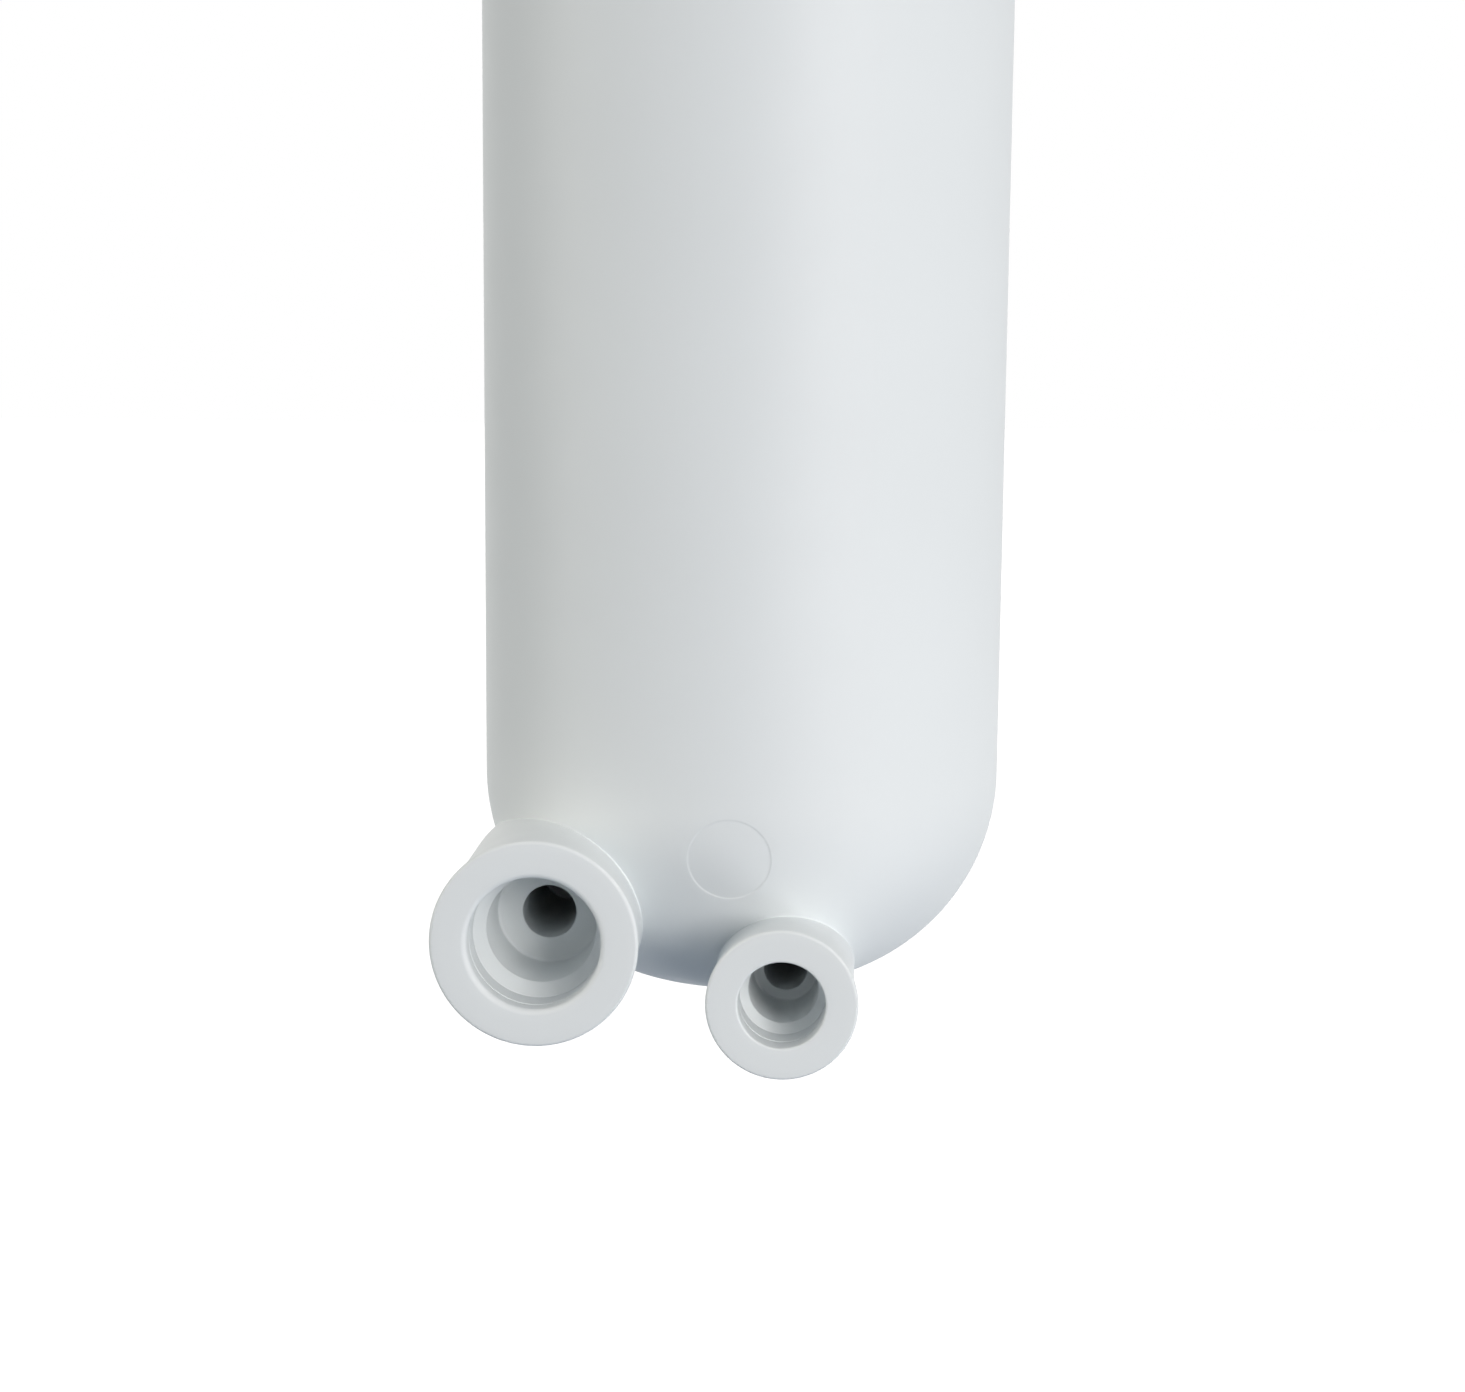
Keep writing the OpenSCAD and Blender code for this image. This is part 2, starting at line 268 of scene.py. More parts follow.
woundTape = {
    "colour": (0.16, 0.27, 0.46),
    "lap": 40.0,               # laps of tape per metre
    "lapGain": 0.86,
    "lapEdge": 0.08,           # share of a lap that its darker edge takes
    "lapBump": (0.3, 0.0001),
    "haze": (120.0, 3.0),      # patches of sheen and their detail
    "roughness": (0.22, 0.34),
}


def makeTape(name, m):
    material, tree, shader, place = startMaterial(name)
    x, y, z = splitPlace(tree, place)
    climb = calc(tree, "MULTIPLY", z, m["lap"])
    lap = calc(tree, "FRACT", calc(tree, "ADD", climb, turnsRound(tree, x, y)))
    edge = spread(tree, lap, 1.0, 0.0, 0.0, m["lapEdge"])
    bare, edged = shade(m["colour"]), shade(m["colour"], m["lapGain"])
    setInput(tree, shader, "Base Color", layer(tree, edge, bare, edged))
    haze = pattern(tree, place, *m["haze"])
    setInput(tree, shader, "Roughness", spread(tree, haze, *m["roughness"]))
    addBump(tree, shader, lap, *m["lapBump"])
    return material


capMoulding = dict(whiteMoulding, cloud=(35.0, 3.0))
tubeMoulding = dict(whiteMoulding, colour=(0.60, 0.60, 0.57))
materials = {
    "white_plastic": makeMoulding("whiteMoulding", whiteMoulding),
    "cap_plastic": makeMoulding("capMoulding", capMoulding),
    "tube_plastic": makeMoulding("tubeMoulding", tubeMoulding),
    "black_rubber": makeRubber("sealRubber", sealRubber),
    "membrane": makeLeaves("leafRoll", leafRoll),
    "wrap_tape": makeTape("woundTape", woundTape),
}
slotOf = {s["node"]: s["material_slot"] for s in frame["record"]["subparts"]}
for nodeName, obj in frame["nodes"].items():
    obj.data.materials.clear()
    obj.data.materials.append(materials[slotOf[nodeName]])
print("materials made:", ", ".join(materials))


# mesh helpers, all lengths in mm until a mesh is made
class Skin:
    def __init__(self):
        self.verts = []
        self.faces = []
        self.count = 0

    def add(self, points):
        start = self.count
        self.verts.append(np.asarray(points, float))
        self.count += len(points)
        return start

    def bridge(self, rings):
        # joins closed rings of equal count, in order
        starts = [self.add(r) for r in rings]
        n = len(rings[0])
        for a, b in zip(starts, starts[1:]):
            for i in range(n):
                j = (i + 1) % n
                self.faces.append((a + i, a + j, b + j, b + i))
        return starts

    def close(self, start, n, centre):
        # fans a ring to its middle
        c = self.add([centre])
        for i in range(n):
            self.faces.append((start + i, start + (i + 1) % n, c))


def finishMesh(name, skin, material, weld=1e-7):
    mesh = bpy.data.meshes.new(name)
    mesh.from_pydata((np.concatenate(skin.verts) * mm).tolist(), [], skin.faces)
    work = bmesh.new()
    work.from_mesh(mesh)
    bmesh.ops.remove_doubles(work, verts=work.verts, dist=weld)
    bmesh.ops.dissolve_degenerate(work, edges=work.edges, dist=weld)
    bmesh.ops.recalc_face_normals(work, faces=work.faces)
    openEdges = sum(1 for e in work.edges if len(e.link_faces) != 2)
    work.to_mesh(mesh)
    work.free()
    mesh.materials.append(material)
    obj = bpy.data.objects.new(name, mesh)
    bpy.context.scene.collection.objects.link(obj)
    print(name, len(mesh.polygons), "faces,", openEdges, "open edges")
    return obj


def softenShading(obj, angle=28.0):
    obj.data.polygons.foreach_set("use_smooth", [True] * len(obj.data.polygons))
    obj.data.set_sharp_from_angle(angle=math.radians(angle))
    obj.data.update()


def bakeModifiers(obj):
    # turns the evaluated shape into the object's plain mesh
    graph = bpy.context.evaluated_depsgraph_get()
    mesh = bpy.data.meshes.new_from_object(obj.evaluated_get(graph))
    obj.modifiers.clear()
    old = obj.data
    obj.data = mesh
    bpy.data.meshes.remove(old)
    mesh.name = obj.name


def cutAway(obj, cutter):
    cut = obj.modifiers.new("cut", "BOOLEAN")
    cut.operation = "DIFFERENCE"
    cut.solver = "MANIFOLD"
    cut.object = cutter
    bakeModifiers(obj)
    bpy.data.objects.remove(cutter)


def rideOn(obj, body, slot, *nodes):
    softenShading(obj)
    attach(obj, body)
    if nodes:
        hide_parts(*nodes)


def softPath(corners, cornerSteps=6):
    # (radius, height, rounding) corners to a path with round corners
    path = []
    for i, (r, z, soft) in enumerate(corners):
        here = np.array((r, z), float)
        if soft <= 0 or i in (0, len(corners) - 1):
            path.append(here)
            continue
        back = np.array(corners[i - 1][:2], float) - here
        ahead = np.array(corners[i + 1][:2], float) - here
        back /= np.linalg.norm(back)
        ahead /= np.linalg.norm(ahead)
        half = math.acos(np.clip(back @ ahead, -1, 1)) / 2
        reach = soft / math.tan(half)
        centre = here + (back + ahead) / np.linalg.norm(back + ahead) * soft / math.sin(half)
        a, b = here + back * reach - centre, here + ahead * reach - centre
        sweep = math.pi - 2 * half
        for k in range(cornerSteps + 1):
            t = k / cornerSteps
            arc = a * math.sin((1 - t) * sweep) + b * math.sin(t * sweep)
            path.append(centre + arc / math.sin(sweep))
    return np.array(path)


def splitLong(path, longest):
    # splits the long stretches of a path
    out = [path[0]]
    for a, b in zip(path, path[1:]):
        n = max(1, int(np.linalg.norm(b - a) // longest))
        out += [a + (b - a) * k / n for k in range(1, n + 1)]
    return np.array(out)


def anglesRound(count):
    return np.arange(count) * 2 * math.pi / count


def spinRing(r, z, turn):
    return np.stack([r * np.cos(turn), r * np.sin(turn), np.full_like(turn, z)], 1)


# shell: barrel, domed end and neck, as one moulding
band = mounts["clip_band"]["dims"]
shellLow, shellHigh = (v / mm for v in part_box("vessel_shell"))
shell = {
    "radius": band["r_mm"],
    "barrelTop": band["length_mm"],
    "rim": shellHigh.z,
    "wall": 5.5,
    "knuckle": 37.0,            # radius of the dome's shoulder
    "taperTop": 4.0,            # neck taper above the barrel
    "taperSoft": (3.0, 1.2),    # rounding at the taper's lower and upper end
    "collar": (52.5, 4.0),      # radius, height
    "collarSoft": 0.9,
    "neck": 47.0,
    "neckSoft": 0.8,
    "leadIn": (0.6, 0.6, 2.5),  # bore at the rim: wider by, and the depths where it narrows
    "socket": (9.0, 13.5),      # permeate socket, bore and outside radius
    "socketSink": 0.8,          # its floor below the inside of the dome
    "foot": (16.1, 9.2),        # socket foot, radius and height
    "footClear": 1.0,           # the dome's own points stop this far from the foot
    "around": 256,              # points round the barrel
    "longest": 10.0,            # longest face along the barrel
    "mesh": 1.5,                # spacing of points on the dome
    "meshClear": 0.55,          # share of that spacing left free round a cut
    "fewest": 6,                # points in the dome's smallest ring
    "bendSteps": 24,            # steps round the inside of the dome
    "sheetTop": 14.0,           # where the cut dome sheet meets the plain barrel
    "hub": 0.5,                 # ring from which a flat end closes to its middle
    "cutterTop": 5.0,           # how far the cutter stands out of the rim
}
flatR = shell["radius"] - shell["knuckle"]
quarter = shell["knuckle"] * math.pi / 2


def wallDistance(p):
    # signed distance from the outside of the barrel and dome, and its direction
    r = np.hypot(p[..., 0], p[..., 1])
    out = np.stack([p[..., 0], p[..., 1]], -1) / np.maximum(r, 1e-9)[..., None]
    z = p[..., 2]
    dr = np.where(z >= 0, r - flatR, np.maximum(r - flatR, 0))
    dz = np.where(z >= 0, 0, z)
    d = np.hypot(dr, dz)
    away = np.concatenate([out * (dr / d)[..., None], (dz / d)[..., None]], -1)
    return d - shell["knuckle"], away


def toSheet(p):
    # a place on the wall to a flat sheet round the pole
    r, z = np.hypot(p[:, 0], p[:, 1]), p[:, 2]
    bend = flatR + shell["knuckle"] * np.arctan2(np.maximum(r - flatR, 0), np.maximum(-z, 0))
    s = np.where(z >= 0, flatR + quarter + z, np.where(r <= flatR, r, bend))
    t = np.arctan2(p[:, 1], p[:, 0])
    return np.stack([s * np.cos(t), s * np.sin(t)], 1)


def fromSheet(u):
    s, t = np.hypot(u[:, 0], u[:, 1]), np.arctan2(u[:, 1], u[:, 0])
    a = np.clip((s - flatR) / shell["knuckle"], 0, math.pi / 2)
    r = np.minimum(s, flatR) + shell["knuckle"] * np.sin(a)
    z = np.maximum(s - flatR - quarter, 0) - shell["knuckle"] * np.cos(a)
    return np.stack([r * np.cos(t), r * np.sin(t), z], 1)


# ports: place and bore from the mounts, the rest read off the photograph
ports = {
    "large": {
        "mount": "large_port", "outer": 16.8, "base": 16.1, "back": 18.0, "edge": 0.6, "lip": 1.0,
        "boreLength": 8.4, "lead": 2.9, "seat": 9.05, "seatLength": 11.9, "hole": 4.5,
        "holeEnd": 52.75, "blend": 0.15, "around": 208,
    },
    "small": {
        "mount": "small_port", "outer": 12.25, "base": 11.5, "back": 14.0, "edge": 0.5, "lip": 0.4,
        "boreLength": 9.0, "lead": 1.6, "seat": 5.75, "seatLength": 12.9, "hole": 3.6,
        "holeEnd": 50.75, "blend": 0.15, "around": 168,
    },
}
portDetail = {
    "taper": 12.0,         # length over which the outside narrows to its base
    "draft": 0.35,         # seat radius lost over its depth
    "ring": (0.4, 0.13),   # fine grooves in the bore, width and depth
    "ringFlank": 0.3,      # share of a groove's width that each flank takes
    "ringPitch": 4.7,
    "ringSoft": 0.08,
    "seatSoft": 0.1,
    "floorSoft": 0.35,
    "holeSoft": 0.15,
    "longest": 1.2,        # longest face along the bore
    "sideSteps": 30,
    "blendSteps": 10,
    "tries": 500,          # places tried along a line of the port to find the wall
    "halvings": 40,        # then halved this often
}
portFace = -shellLow.y


def portAxis(p):
    pos = mounts[p["mount"]]["pos_m"]
    return pos[0] / mm, pos[2] / mm


def sideStart(p):
    # depth at which the rounded edge has become the plain side
    return p["edge"] * 2


def portPoint(p, turn, along, grow=0.0):
    # a place on the port's outside, side that narrows to its base then rounded back end
    x, z = portAxis(p)
    straight = portFace - p["back"]
    start, end = sideStart(p), portDetail["taper"]
    slope = (p["outer"] - p["base"]) / (end - start)
    narrow = np.clip(along - start, 0, end - start) * slope
    bend = np.clip((along - straight) / p["base"], 0, math.pi / 2)
    lean = np.where(along < end, math.atan(slope), bend)
    out = np.stack([np.cos(turn) * np.cos(lean), np.sin(lean), np.sin(turn) * np.cos(lean)], -1)
    radius = (p["outer"] - narrow) * np.cos(bend)
    depth = np.minimum(along, straight) + p["base"] * np.sin(bend)
    place = np.stack([x + radius * np.cos(turn), -portFace + depth, z + radius * np.sin(turn)], -1)
    return place + out * grow, out


def meetWall(p, turn):
    # how far along each line of the port the rolling ball touches both skins
    def gapToWall(along):
        return wallDistance(portPoint(p, turn, along, p["blend"])[0])[0] - p["blend"]

    most = portFace - p["back"] + p["base"] * math.pi / 2
    grid = np.linspace(p["edge"], most, portDetail["tries"])
    gaps = np.stack([gapToWall(np.full_like(turn, g)) for g in grid])
    first = np.argmax(gaps < 0, axis=0)
    low, high = grid[first - 1], grid[first]
    for _ in range(portDetail["halvings"]):
        middle = (low + high) / 2
        outside = gapToWall(middle) > 0
        low, high = np.where(outside, middle, low), np.where(outside, high, middle)
    return (low + high) / 2


def boreCorners(p, bore):
    # half section of a port from its outer edge to the end of its passage: radius, depth, rounding
    width, depth = portDetail["ring"]
    flank = portDetail["ringFlank"]
    soft = portDetail["ringSoft"]
    seatAt = p["boreLength"] + p["lead"]
    floorAt = seatAt + p["seatLength"]
    corners = [(p["outer"], sideStart(p), 0), (p["outer"], 0, p["edge"]), (bore, 0, p["lip"])]
    for end in (p["boreLength"] - portDetail["ringPitch"], p["boreLength"]):
        corners += [(bore, end - width, soft), (bore + depth, end - width * (1 - flank), soft),
                    (bore + depth, end - width * flank, soft), (bore, end, soft)]
    corners += [(p["seat"], seatAt, portDetail["seatSoft"]),
                (p["seat"] - portDetail["draft"], floorAt, portDetail["floorSoft"]),
                (p["hole"], floorAt, portDetail["holeSoft"]), (p["hole"], p["holeEnd"], 0)]
    return corners


def addPort(skin, p):
    x, z = portAxis(p)
    turn = anglesRound(p["around"])
    bore = mounts[p["mount"]]["dims"]["r_mm"]
    rings = []
    for r, depth in splitLong(softPath(boreCorners(p, bore)), portDetail["longest"])[::-1]:
        rings.append(np.stack([x + r * np.cos(turn), np.full_like(turn, depth - portFace),
                               z + r * np.sin(turn)], 1))
    start, meet = sideStart(p), meetWall(p, turn)
    for k in range(1, portDetail["sideSteps"] + 1):
        rings.append(portPoint(p, turn, start + (meet - start) * k / portDetail["sideSteps"])[0])
    ball, fromPort = portPoint(p, turn, meet, p["blend"])
    fromWall = wallDistance(ball)[1]
    sweep = np.arccos(np.clip((fromPort * fromWall).sum(1), -1, 1))
    for k in range(1, portDetail["blendSteps"] + 1):
        t = k / portDetail["blendSteps"]
        arc = fromPort * np.sin((1 - t) * sweep)[:, None] + fromWall * np.sin(t * sweep)[:, None]
        rings.append(ball - p["blend"] * arc / np.sin(sweep)[:, None])
    starts = skin.bridge(rings)
    skin.close(starts[0], p["around"], rings[0].mean(0))
    return rings[-1]


# blanked port mark: a disc set a little below the wall
blankMark = {
    "drop": 7.5,
    "around": 112,
    "depth": 0.11,
    # radius and depth below the wall, down the soft rim
    "rim": [(6.95, 0.0), (6.87, 0.01), (6.78, 0.04), (6.7, 0.08), (6.6, 0.105)],
    "disc": (6.45, 5.6, 4.5, 3.4, 2.3, 1.2),   # radii of the rings across the disc
}


def addBlankMark(skin, b):
    turn = anglesRound(b["around"])
    rings = []
    for r, depth in b["rim"] + [(r, b["depth"]) for r in b["disc"]]:
        x, z = r * np.cos(turn), -b["drop"] + r * np.sin(turn)
        wallR = flatR + np.sqrt((shell["knuckle"] - depth) ** 2 - z ** 2)
        rings.append(np.stack([x, -np.sqrt(wallR ** 2 - x ** 2), z], 1))
    starts = skin.bridge(rings)
    middle = flatR + math.sqrt((shell["knuckle"] - b["depth"]) ** 2 - b["drop"] ** 2)
    skin.close(starts[-1], b["around"], (0, -middle, -b["drop"]))
    return rings[0]


def insideLoop(points, loop):
    # even-odd test of many points against one closed loop
    inside = np.zeros(len(points), bool)
    for a, b in zip(loop, np.roll(loop, -1, 0)):
        crosses = (a[1] > points[:, 1]) != (b[1] > points[:, 1])
        with np.errstate(divide="ignore", invalid="ignore"):
            at = (b[0] - a[0]) * (points[:, 1] - a[1]) / (b[1] - a[1]) + a[0]
        inside ^= crosses & (points[:, 0] < at)
    return inside


def nearLoop(points, loop, reach):
    # which points lie closer than reach to a closed loop
    near = np.zeros(len(points), bool)
    for a in loop:
        near |= np.hypot(points[:, 0] - a[0], points[:, 1] - a[1]) < reach
    return near


def sheetPoints(top):
    # even rings of points on the flat sheet, inside its rim
    ringCount = int(top / shell["mesh"])
    points = [np.zeros((1, 2))]
    for k in range(1, ringCount):
        s = top * k / ringCount
        n = max(shell["fewest"], int(round(2 * math.pi * s / shell["mesh"])))
        points.append(spinRing(s, 0, anglesRound(min(shell["around"], n)))[:, :2])
    return np.concatenate(points)


def addDomeSheet(skin, loops):
    # triangulates the dome round the ports and the mark, on its flattened sheet
    top = flatR + quarter + shell["sheetTop"]
    rim = spinRing(top, 0, anglesRound(shell["around"]))[:, :2]
    points = sheetPoints(top)
    flatLoops = [toSheet(loop) for loop in loops]
    for loop in flatLoops:
        near = nearLoop(points, loop, shell["mesh"] * shell["meshClear"])
        points = points[~insideLoop(points, loop) & ~near]
    places = [fromSheet(points), fromSheet(rim)] + list(loops)
    flat = [points, rim] + flatLoops
    edges, start = [], len(points)
    for loop in flat[1:]:
        edges += [(start + i, start + (i + 1) % len(loop)) for i in range(len(loop))]
        start += len(loop)
    flat, places = np.concatenate(flat), np.concatenate(places)
    made = delaunay_2d_cdt([Vector(v) for v in flat], edges, [], 0, 1e-6)
    faces, source = made[2], [ids[0] for ids in made[3]]
    middle = np.array([np.mean([flat[source[i]] for i in f], 0) for f in faces])
    keep = np.ones(len(middle), bool)
    for loop in flatLoops:
        keep &= ~insideLoop(middle, loop)
    first = skin.add(places)
    for face, kept in zip(faces, keep):
        if kept:
            skin.faces.append(tuple(first + source[i] for i in face))
    return fromSheet(rim)


def addNeck(skin, rimRing):
    # barrel, taper, collar and neck above the dome sheet, closed across the rim
    s = shell
    collarLow = s["barrelTop"] + s["taperTop"]
    collarR, collarH = s["collar"]
    lowSoft, highSoft = s["taperSoft"]
    corners = [(s["radius"], s["sheetTop"], 0), (s["radius"], s["barrelTop"], lowSoft),
               (s["neck"], collarLow, highSoft), (collarR, collarLow, s["collarSoft"]),
               (collarR, collarLow + collarH, s["collarSoft"]),
               (s["neck"], collarLow + collarH, s["neckSoft"]),
               (s["neck"], s["rim"], s["neckSoft"]), (s["hub"], s["rim"], 0)]
    path = splitLong(softPath(corners), s["longest"])
    turn = anglesRound(s["around"])
    starts = skin.bridge([rimRing] + [spinRing(r, z, turn) for r, z in path[1:]])
    skin.close(starts[-1], s["around"], (0, 0, s["rim"]))


def cavityMesh():
    # inside of the shell with the permeate socket, as a cutter
    s = shell
    bend = s["knuckle"] - s["wall"]
    inner = s["radius"] - s["wall"]
    top, sink = s["rim"] + s["cutterTop"], -bend - s["socketSink"]
    wider, leadHigh, leadLow = s["leadIn"]
    footR, footH = s["foot"]
    socketIn, socketOut = s["socket"]
    section = [(s["hub"], top), (inner + wider, top), (inner + wider, s["rim"] - leadHigh),
               (inner, s["rim"] - leadLow), (inner, 0)]
    for k in range(1, s["bendSteps"] + 1):
        a = math.pi / 2 * k / s["bendSteps"]
        r, z = flatR + bend * math.cos(a), -bend * math.sin(a)
        if r > footR + s["footClear"]:
            section.append((r, z))
    reach = math.sqrt(bend ** 2 - (footR - flatR) ** 2)
    section += [(footR, -reach), (footR, footH - bend), (socketOut, footH - bend), (socketOut, 0),
                (socketIn, 0), (socketIn, sink), (s["hub"], sink)]
    skin = Skin()
    turn = anglesRound(s["around"])
    starts = skin.bridge([spinRing(r, z, turn) for r, z in section])
    skin.close(starts[0], s["around"], (0, 0, top))
    skin.close(starts[-1], s["around"], (0, 0, sink))
    return finishMesh("shellCavity", skin, materials["white_plastic"])


def makeShell():
    skin = Skin()
    loops = [addPort(skin, p) for p in ports.values()] + [addBlankMark(skin, blankMark)]
    addNeck(skin, addDomeSheet(skin, loops))
    obj = finishMesh("vesselShell", skin, materials["white_plastic"])
    cutAway(obj, cavityMesh())
    rideOn(obj, "vessel", "white_plastic", "vessel_shell")
    print("shell:", len(obj.data.polygons), "faces after the cavity is cut")


makeShell()


# geometry node helpers
def startTree(name, numbers):
    tree = bpy.data.node_groups.new(name, "GeometryNodeTree")
    tree.interface.new_socket("Geometry", in_out="INPUT", socket_type="NodeSocketGeometry")
    tree.interface.new_socket("Geometry", in_out="OUTPUT", socket_type="NodeSocketGeometry")
    for label in numbers:
        tree.interface.new_socket(label, in_out="INPUT", socket_type="NodeSocketFloat")
    tree.interface.new_socket("Material", in_out="INPUT", socket_type="NodeSocketMaterial")
    return tree, addNode(tree, "NodeGroupInput").outputs


def endTree(tree, given, geometry):
    real = addNode(tree, "GeometryNodeRealizeInstances")
    paint = addNode(tree, "GeometryNodeSetMaterial")
    end = addNode(tree, "NodeGroupOutput")
    setInput(tree, real, "Geometry", geometry)
    setInput(tree, paint, "Geometry", real.outputs[0])
    setInput(tree, paint, "Material", given["Material"])
    setInput(tree, end, 0, paint.outputs[0])


def runTree(obj, tree, values):
    grow = obj.modifiers.new("grow", "NODES")
    grow.node_group = tree
    for item in tree.interface.items_tree:
        if item.in_out == "INPUT" and item.name in values:
            grow[item.identifier] = values[item.name]
    bakeModifiers(obj)


# cap: skirt with grip ribs, plate, spigot with O-ring grooves, and the feed port
capLow, capHigh = (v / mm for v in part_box("end_cap"))
ringNodes = ("cap_o_ring_lower", "cap_o_ring_upper")
ringHeights = [sum(v.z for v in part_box(n)) / 2 / mm for n in ringNodes]
cap = {
    "skirt": (50.0, 55.0),          # inside and outside radius
    "skirtSoft": (1.0, 0.8),        # rounding of its lower edge, inside and outside
    "plate": (shell["rim"], shell["rim"] + 9.0),   # underside and top
    "plateEdge": 2.5,
    "plateSoft": 1.0,               # rounding where the plate meets the spigot and the skirt
    "spigot": (33.0, 39.2, 260.0),  # inside and outside radius, lower end
    "spigotSoft": (0.6, 0.8),       # rounding of its lower end, inside and outside
    "spigotRoot": 0.5,
    "groove": (36.0, 3.5),          # floor radius and width of an O-ring groove
    "grooveSoft": (0.15, 0.3),      # rounding of its edges and its floor
    "feedFloor": 3.0,               # plate left under the feed port's seat
    "feedHoleSoft": 0.3,
    "foot": 4.0,                    # fillet at the foot of the feed port
    "ribs": 30,
    "ribHalf": 2.4,                 # half width of a rib at its foot
    "ribInset": (2.0, 4.5),         # from the lower edge and from the plate top
    "ribEnd": 2.4,                  # run-out of a rib at each end
    "ribEndPoints": 6,
    "ribPoints": 12,
    "flatPoints": 4,
    "cornerSteps": 4,
    "longest": 12.0,                # longest face along the section
}
cap["ribHeight"] = capHigh.x - cap["skirt"][1]


def capTurns(c):
    # points round the cap, close together on the ribs
    pitch = 2 * math.pi / c["ribs"]
    half = c["ribHalf"] / c["skirt"][1]
    one = np.concatenate([np.linspace(-half, half, c["ribPoints"], endpoint=False),
                          np.linspace(half, pitch - half, c["flatPoints"], endpoint=False)])
    return np.concatenate([one + i * pitch for i in range(c["ribs"])])


def ribSpan(c):
    return capLow.z + c["ribInset"][0], c["plate"][1] - c["ribInset"][1]


def capSection(c):
    # closed half section of the cap, from the inside of the skirt and back to it
    skirtIn, skirtOut = c["skirt"]
    plateLow, plateTop = c["plate"]
    spigotIn, spigotOut, spigotLow = c["spigot"]
    grooveR, grooveW = c["groove"]
    edgeSoft, floorSoft = c["grooveSoft"]
    low, high = ribSpan(c)
    start = (skirtIn, (capLow.z + plateLow) / 2, 0)
    corners = [start, (skirtIn, capLow.z, c["skirtSoft"][0]), (skirtOut, capLow.z, c["skirtSoft"][1])]
    runOut = np.linspace(0, c["ribEnd"], c["ribEndPoints"])
    corners += [(skirtOut, low + d, 0) for d in runOut]
    corners += [(skirtOut, high - d, 0) for d in runOut[::-1]]
    port = ports["large"]
    seatLength = capHigh.z - plateLow - c["feedFloor"] - port["boreLength"] - port["lead"]
    bore = boreCorners(dict(port, seatLength=seatLength), mounts["feed_port"]["dims"]["r_mm"])
    corners += [(skirtOut, plateTop, c["plateEdge"]), (port["outer"], plateTop, c["foot"])]
    corners += [(r, capHigh.z - depth, soft) for r, depth, soft in bore[1:-1]]
    corners += [(port["hole"], plateLow, c["feedHoleSoft"]), (spigotIn, plateLow, c["plateSoft"]),
                (spigotIn, spigotLow, c["spigotSoft"][0]), (spigotOut, spigotLow, c["spigotSoft"][1])]
    for z in ringHeights:
        under, over = z - grooveW / 2, z + grooveW / 2
        corners += [(spigotOut, under, edgeSoft), (grooveR, under, floorSoft),
                    (grooveR, over, floorSoft), (spigotOut, over, edgeSoft)]
    corners += [(spigotOut, plateLow, c["spigotRoot"]), (skirtIn, plateLow, c["plateSoft"]), start]
    return splitLong(softPath(corners, c["cornerSteps"]), c["longest"])


def ribTree():
    # lifts the skirt outward into round ribs that run out at both ends
    numbers = ("Count", "Half Width", "Height", "Radius", "Low", "High", "Run Out")
    tree, given = startTree("gripRibs", numbers)
    x, y, z = splitPlace(tree, addNode(tree, "GeometryNodeInputPosition").outputs[0])
    pitch = calc(tree, "DIVIDE", 2 * math.pi, given["Count"])
    turn = calc(tree, "DIVIDE", calc(tree, "ARCTAN2", y, x), pitch)
    offset = calc(tree, "SUBTRACT", calc(tree, "FRACT", calc(tree, "ADD", turn, 0.5)), 0.5)
    angle = calc(tree, "MULTIPLY", calc(tree, "ABSOLUTE", offset), pitch)
    arc = calc(tree, "MULTIPLY", angle, given["Radius"])
    across = calc(tree, "MINIMUM", calc(tree, "DIVIDE", arc, given["Half Width"]), 1.0)
    wave = calc(tree, "COSINE", calc(tree, "MULTIPLY", across, math.pi))
    bump = calc(tree, "MULTIPLY_ADD", wave, 0.5, 0.5)
    fromLow = calc(tree, "DIVIDE", calc(tree, "SUBTRACT", z, given["Low"]), given["Run Out"])
    fromHigh = calc(tree, "DIVIDE", calc(tree, "SUBTRACT", given["High"], z), given["Run Out"])
    inward = calc(tree, "MINIMUM", calc(tree, "MINIMUM", fromLow, fromHigh), 1.0)
    inward = calc(tree, "MAXIMUM", inward, 0.0)
    fade = calc(tree, "SINE", calc(tree, "MULTIPLY", inward, math.pi / 2))
    radius = radiusOf(tree, x, y)
    justInside = calc(tree, "MULTIPLY", given["Radius"], 0.999)
    skirt = calc(tree, "GREATER_THAN", radius, justInside)
    height = calc(tree, "MULTIPLY", skirt, given["Height"])
    lift = calc(tree, "MULTIPLY", calc(tree, "MULTIPLY", bump, fade), height)
    liftX, liftY = (calc(tree, "MULTIPLY", lift, calc(tree, "DIVIDE", v, radius)) for v in (x, y))
    move = addNode(tree, "GeometryNodeSetPosition")
    setInput(tree, move, "Geometry", given["Geometry"])
    setInput(tree, move, "Offset", joinPlace(tree, x=liftX, y=liftY))
    endTree(tree, given, move.outputs[0])
    return tree


def makeCap(c):
    skin = Skin()
    turn = capTurns(c)
    skin.bridge([spinRing(r, z, turn) for r, z in capSection(c)])
    obj = finishMesh("endCap", skin, materials["cap_plastic"])
    low, high = ribSpan(c)
    runTree(obj, ribTree(), {
        "Count": float(c["ribs"]), "Half Width": c["ribHalf"] * mm, "Height": c["ribHeight"] * mm,
        "Radius": c["skirt"][1] * mm, "Low": low * mm, "High": high * mm,
        "Run Out": c["ribEnd"] * mm, "Material": materials["cap_plastic"]})
    rideOn(obj, "cap", "cap_plastic", "end_cap")


makeCap(cap)

